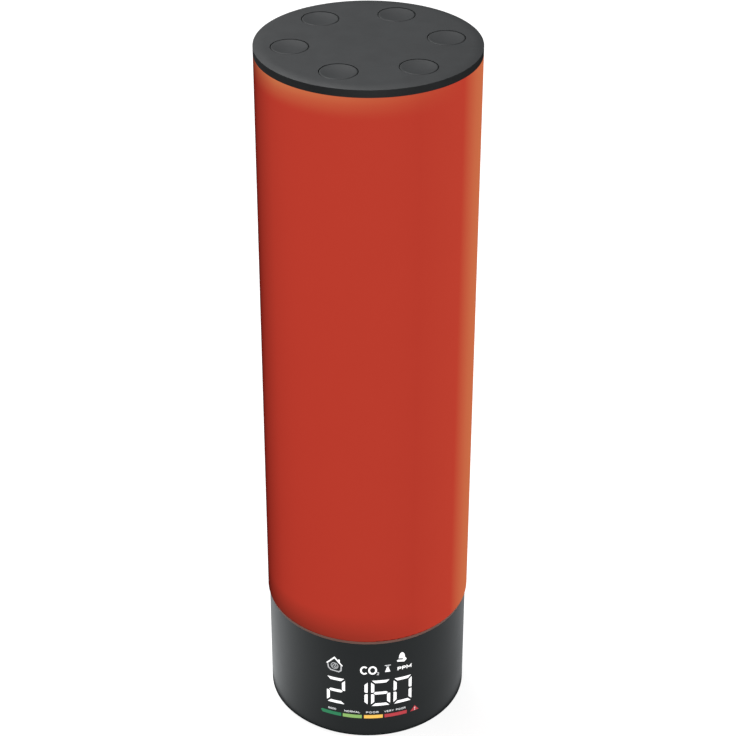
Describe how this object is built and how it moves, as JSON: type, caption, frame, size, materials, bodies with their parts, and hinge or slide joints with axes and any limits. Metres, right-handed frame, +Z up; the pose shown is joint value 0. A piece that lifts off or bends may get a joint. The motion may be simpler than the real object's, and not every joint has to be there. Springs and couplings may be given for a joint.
{
  "type": "air quality monitor",
  "caption": "Tall round air quality monitor: a dark base with a hidden digital display, a glowing light column above it and a flat cap with a ring of round push keys.",
  "frame": {"origin": "on the column's axis, on the surface the foot stands on", "axes": "+Z up along the column, -Y towards the display's front, +Y towards the power socket at the back, +X to the display's right as seen from the front"},
  "size_m": [0.064, 0.064, 0.2253],
  "materials": {
    "foot_rubber": "matte",
    "base_plastic": "satin gloss, dark translucent",
    "cover_plastic": "fine texture",
    "screw_steel": "zinc plated",
    "mesh_fabric": "woven dust mesh",
    "film_plastic": "white, diffusing",
    "legend_white": "lit",
    "legend_green": "lit",
    "legend_lime": "lit",
    "legend_amber": "lit",
    "legend_red": "lit",
    "board_green": "solder mask",
    "board_blue": "solder mask",
    "led_package": "phosphor",
    "chip_black": "moulded",
    "connector_white": "moulded",
    "socket_steel": "nickel plated",
    "sensor_gold": "gold flash",
    "filter_fabric": "porous membrane",
    "cable_grey": "flat cable",
    "inner_white": "white reflector grade",
    "diffuser_glow": "opal, lit from inside",
    "spine_aluminium": "extruded",
    "cap_plastic": "fine texture",
    "key_plastic": "fine texture",
    "plunger_red": "moulded"
  },
  "bodies": {
    "monitor": {"rubber_foot": "foot_rubber", "base_shell": "base_plastic", "bottom_cover": "cover_plastic", "cover_screws": "screw_steel", "main_board_screws": "screw_steel", "deck_screws": "screw_steel", "reflector_screws": "screw_steel", "key_board_screws": "screw_steel", "vent_mesh": "mesh_fabric", "display_film": "film_plastic", "display_reflector": "film_plastic", "digits": "legend_white", "scale_green": "legend_green", "scale_lime": "legend_lime", "scale_amber": "legend_amber", "scale_red": "legend_red", "display_board": "board_green", "main_board": "board_green", "key_board": "board_green", "sensor_board": "board_blue", "display_leds": "led_package", "leds_1": "led_package", "leds_2": "led_package", "leds_3": "led_package", "board_chips": "chip_black", "buzzer": "chip_black", "key_switches": "chip_black", "display_header": "chip_black", "socket_tongue": "chip_black", "board_connector": "connector_white", "key_connector": "connector_white", "socket_shell": "socket_steel", "sensor_chamber": "sensor_gold", "sensor_pins": "sensor_gold", "sensor_filter": "filter_fabric", "ribbon_cable": "cable_grey", "column_deck": "inner_white", "top_reflector": "inner_white", "led_strip_1": "inner_white", "led_strip_2": "inner_white", "led_strip_3": "inner_white", "diffuser_tube": "diffuser_glow", "light_spine": "spine_aluminium", "top_cap": "cap_plastic"},
    "power_button": {"power_key": "key_plastic", "power_switch_plunger": "plunger_red"},
    "mode_button": {"mode_key": "key_plastic", "mode_switch_plunger": "plunger_red"},
    "up_button": {"up_key": "key_plastic", "up_switch_plunger": "plunger_red"},
    "down_button": {"down_key": "key_plastic", "down_switch_plunger": "plunger_red"},
    "alarm_button": {"alarm_key": "key_plastic", "alarm_switch_plunger": "plunger_red"},
    "light_button": {"light_key": "key_plastic", "light_switch_plunger": "plunger_red"}
  },
  "joints": [
    {"name": "power_press", "type": "slide", "parent": "monitor", "child": "power_button", "axis": [0, 0, -1], "range_m": [0, 0.0006], "stiffness_N_per_m": 800, "springref_m": -0.0005},
    {"name": "mode_press", "type": "slide", "parent": "monitor", "child": "mode_button", "axis": [0, 0, -1], "range_m": [0, 0.0006], "stiffness_N_per_m": 800, "springref_m": -0.0005},
    {"name": "up_press", "type": "slide", "parent": "monitor", "child": "up_button", "axis": [0, 0, -1], "range_m": [0, 0.0006], "stiffness_N_per_m": 800, "springref_m": -0.0005},
    {"name": "down_press", "type": "slide", "parent": "monitor", "child": "down_button", "axis": [0, 0, -1], "range_m": [0, 0.0006], "stiffness_N_per_m": 800, "springref_m": -0.0005},
    {"name": "alarm_press", "type": "slide", "parent": "monitor", "child": "alarm_button", "axis": [0, 0, -1], "range_m": [0, 0.0006], "stiffness_N_per_m": 800, "springref_m": -0.0005},
    {"name": "light_press", "type": "slide", "parent": "monitor", "child": "light_button", "axis": [0, 0, -1], "range_m": [0, 0.0006], "stiffness_N_per_m": 800, "springref_m": -0.0005}
  ]
}
